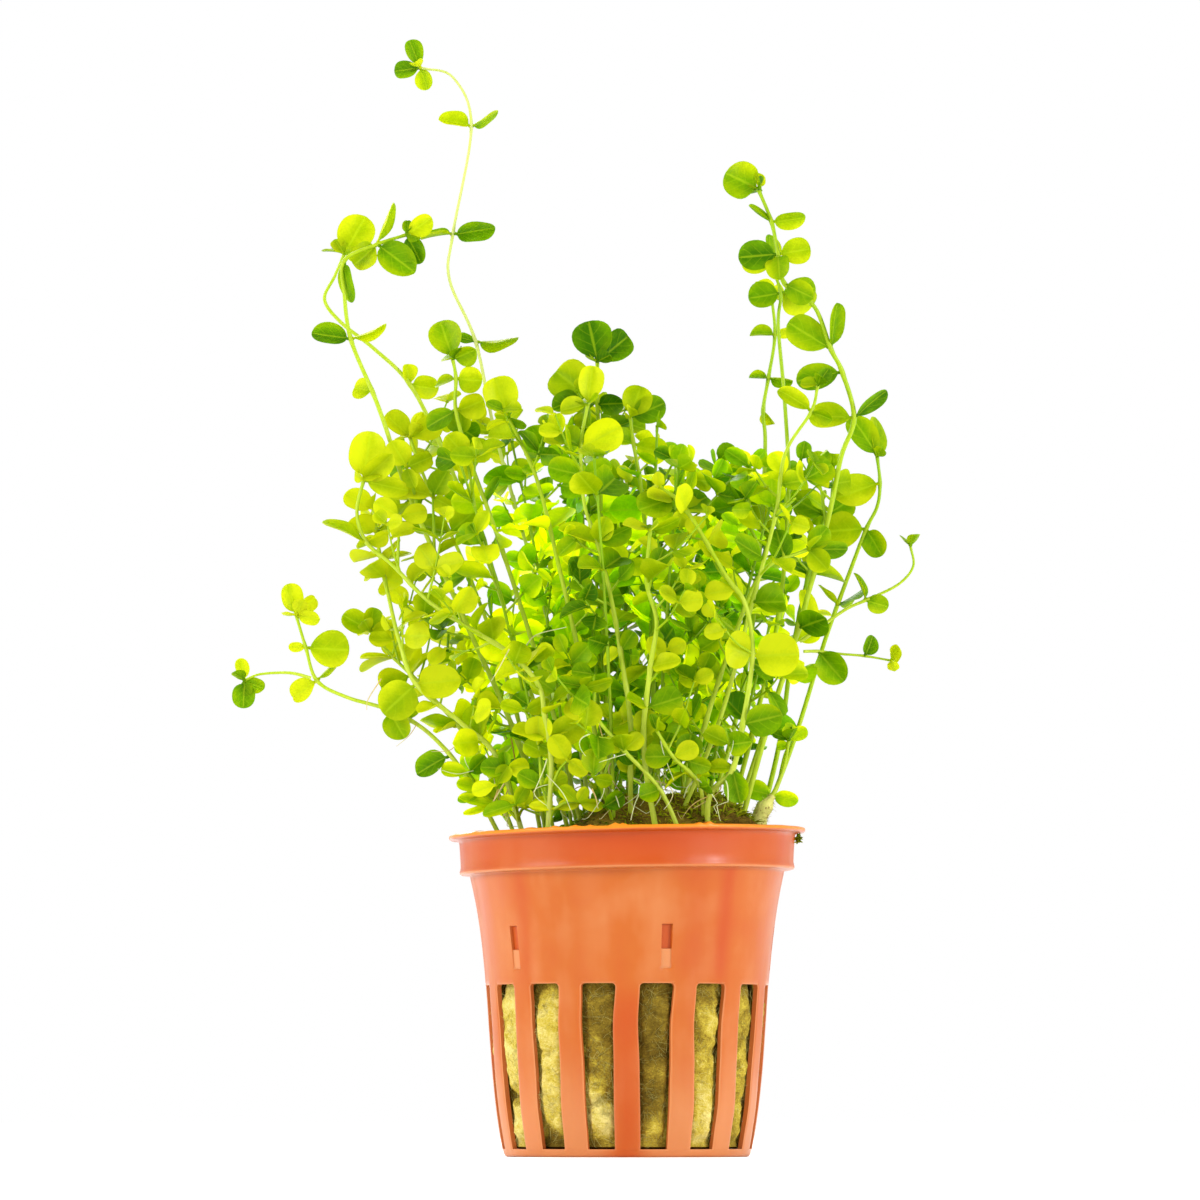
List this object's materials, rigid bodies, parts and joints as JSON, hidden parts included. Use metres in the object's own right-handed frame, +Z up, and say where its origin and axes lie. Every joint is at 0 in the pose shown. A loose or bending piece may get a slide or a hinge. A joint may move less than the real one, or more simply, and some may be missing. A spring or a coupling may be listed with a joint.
{
  "type": "potted giant baby tears",
  "caption": "Giant baby tears rooted in a stone wool plug, in a small round net pot with tall slots round its lower half.",
  "frame": {"origin": "centre of the pot's flat foot, on the plane that the pot stands on", "axes": "+Z up along the pot's axis; -Y is the front of the picture, so +X is to its right"},
  "size_m": [0.1027, 0.0618, 0.1708],
  "materials": {
    "pot_plastic": "satin",
    "stone_wool": "matte",
    "moss": "matte",
    "foliage": "satin",
    "foliage_dry": "matte"
  },
  "bodies": {
    "root": {"net_pot": "pot_plastic", "wool_plug": "stone_wool", "moss_scrap": "moss", "shoot_tall_left": "foliage", "shoot_left_bow": "foliage", "shoot_left_loop": "foliage", "shoot_left_crown": "foliage", "shoot_left_fork": "foliage", "shoot_round_left": "foliage", "shoot_long_sweep": "foliage", "shoot_left_rise": "foliage", "shoot_low_reach": "foliage", "shoot_left_runner": "foliage", "shoot_left_low": "foliage", "shoot_right_stalk": "foliage", "shoot_right_middle": "foliage", "shoot_right_arch": "foliage", "shoot_right_front": "foliage", "shoot_right_hook": "foliage", "shoot_right_inner": "foliage", "shoot_right_prop": "foliage", "shoot_dry_stem": "foliage", "shoot_dry_twig": "foliage_dry", "shoot_dry_twig_low": "foliage_dry", "shoot_front_right": "foliage", "shoot_rim_shoot": "foliage", "shoot_front_middle": "foliage", "shoot_front_crown": "foliage", "shoot_front_low_left": "foliage", "shoot_front_low_right": "foliage", "shoot_crown_left": "foliage", "shoot_crown_right": "foliage", "shoot_inner_01": "foliage", "shoot_inner_02": "foliage", "shoot_inner_03": "foliage", "shoot_inner_04": "foliage", "shoot_inner_05": "foliage", "shoot_inner_06": "foliage", "shoot_inner_07": "foliage", "shoot_inner_08": "foliage", "shoot_inner_09": "foliage", "shoot_inner_10": "foliage", "shoot_inner_11": "foliage", "shoot_inner_12": "foliage", "shoot_inner_13": "foliage", "shoot_inner_14": "foliage", "shoot_inner_15": "foliage", "shoot_inner_16": "foliage", "shoot_inner_17": "foliage", "shoot_inner_18": "foliage", "shoot_inner_19": "foliage", "shoot_inner_20": "foliage", "shoot_inner_21": "foliage", "shoot_inner_22": "foliage"}
  },
  "joints": []
}
